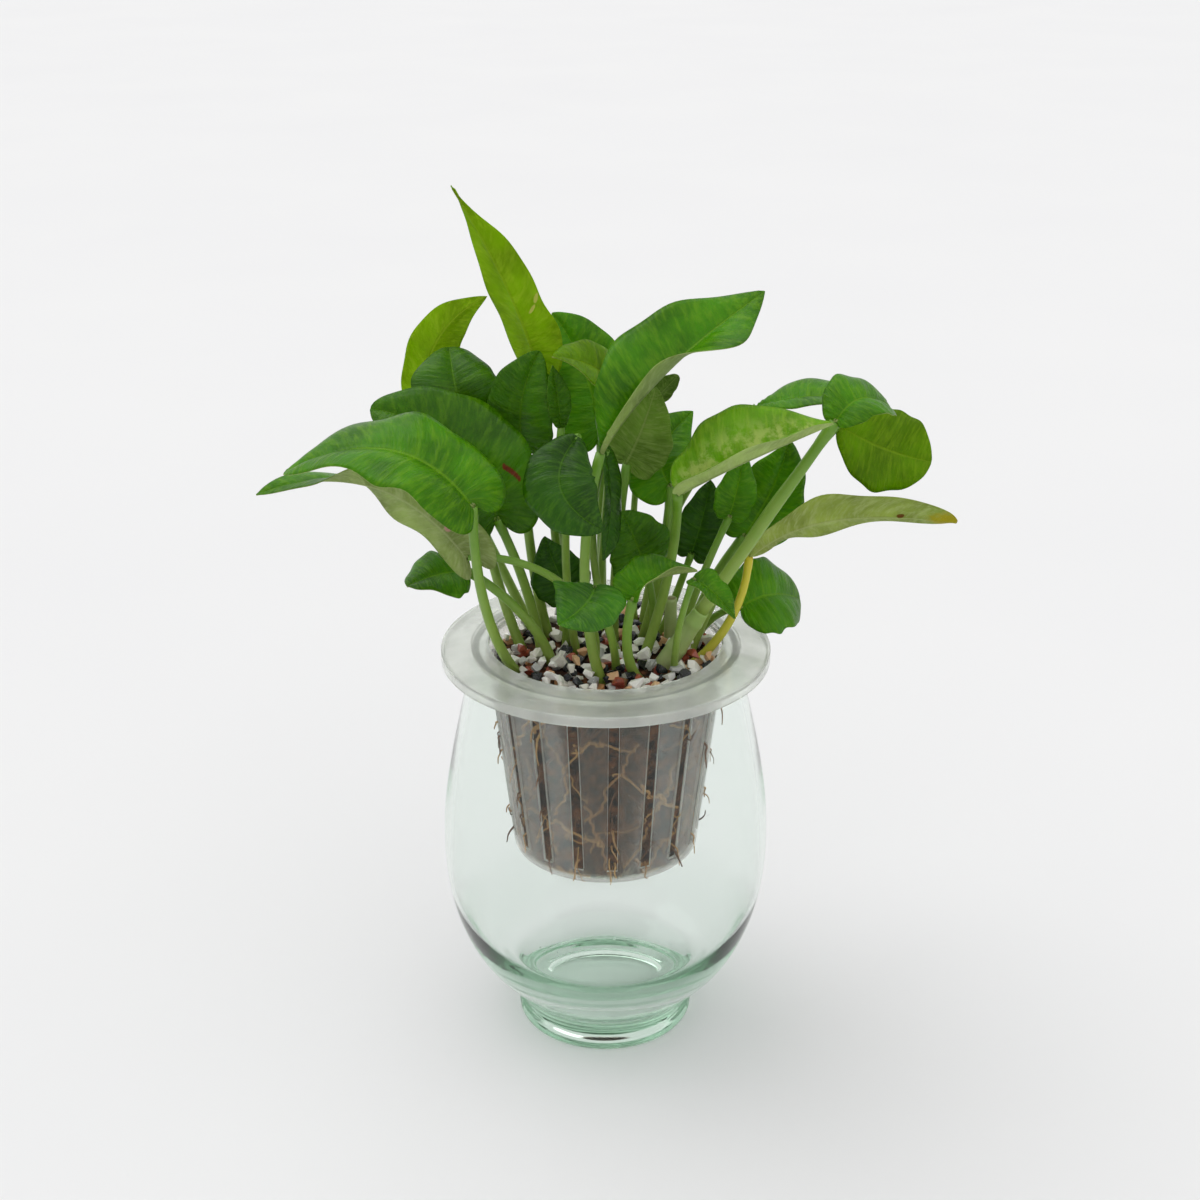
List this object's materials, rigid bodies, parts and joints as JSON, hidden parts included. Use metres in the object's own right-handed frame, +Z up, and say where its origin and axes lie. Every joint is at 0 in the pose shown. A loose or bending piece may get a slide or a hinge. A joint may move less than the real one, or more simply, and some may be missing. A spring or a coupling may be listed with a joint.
{
  "type": "hydroponic jar planter",
  "caption": "Footed green glass jar with a slotted net pot hung by its flange on the rim, holding a pothos plant in gravel over a root ball; the pot lifts straight out.",
  "frame": {"origin": "centre of the jar's foot, on the plane that it stands on", "axes": "+Z up along the jar's axis, -Y towards the front of the plant, +X to the front's right"},
  "size_m": [0.2673, 0.1382, 0.3451],
  "materials": {
    "jar_glass": "clear, pale green, polished",
    "pot_plastic": "translucent, slightly scuffed",
    "growing_medium": "rough, damp, dark brown; density of moist coir and peat",
    "root": "fibrous",
    "stone_white": "broken chips",
    "stone_black": "broken chips",
    "stone_red": "broken chips",
    "stone_tan": "broken chips",
    "stone_grey": "broken chips",
    "stalk": "smooth, fleshy; density of plant tissue",
    "leaf_bright": "waxy gloss; density of plant tissue",
    "leaf_dark": "waxy gloss; density of plant tissue",
    "leaf_pale": "matt underside; density of plant tissue",
    "leaf_yellow": "waxy; density of plant tissue"
  },
  "bodies": {
    "jar": {"glass_jar": "jar_glass"},
    "basket": {"gravel_black": "stone_black", "gravel_grey": "stone_grey", "gravel_red": "stone_red", "gravel_tan": "stone_tan", "gravel_white": "stone_white", "leaf_back": "leaf_dark", "leaf_back_dark": "leaf_dark", "leaf_back_right": "leaf_bright", "leaf_centre_dark": "leaf_dark", "leaf_centre_olive": "leaf_dark", "leaf_crown": "leaf_yellow", "leaf_edge": "leaf_dark", "leaf_far_arch": "leaf_bright", "leaf_far_back": "leaf_bright", "leaf_far_hanging": "leaf_pale", "leaf_front_gloss": "leaf_bright", "leaf_front_round": "leaf_dark", "leaf_left_dark": "leaf_dark", "leaf_left_front": "leaf_bright", "leaf_left_low": "leaf_bright", "leaf_left_under": "leaf_bright", "leaf_left_upper": "leaf_dark", "leaf_low_back": "leaf_dark", "leaf_low_right": "leaf_bright", "leaf_mottled": "leaf_pale", "leaf_olive": "leaf_dark", "leaf_pale_lobe": "leaf_dark", "leaf_right_back": "leaf_bright", "leaf_right_long": "leaf_pale", "leaf_right_mid": "leaf_bright", "leaf_right_round": "leaf_bright", "leaf_right_small": "leaf_bright", "leaf_right_tall": "leaf_bright", "leaf_sliver": "leaf_bright", "leaf_yellow": "leaf_yellow", "leaf_young": "leaf_yellow", "net_pot": "pot_plastic", "root_ball": "growing_medium", "slot_roots": "root", "stalks_centre": "stalk", "stalks_left": "stalk", "stalks_right": "stalk", "stem_stub": "stalk", "vine_stem": "stalk"}
  },
  "joints": [
    {"name": "basket_lift", "type": "slide", "parent": "jar", "child": "basket", "axis": [0, 0, 1], "range_m": [0, 0.11]}
  ]
}
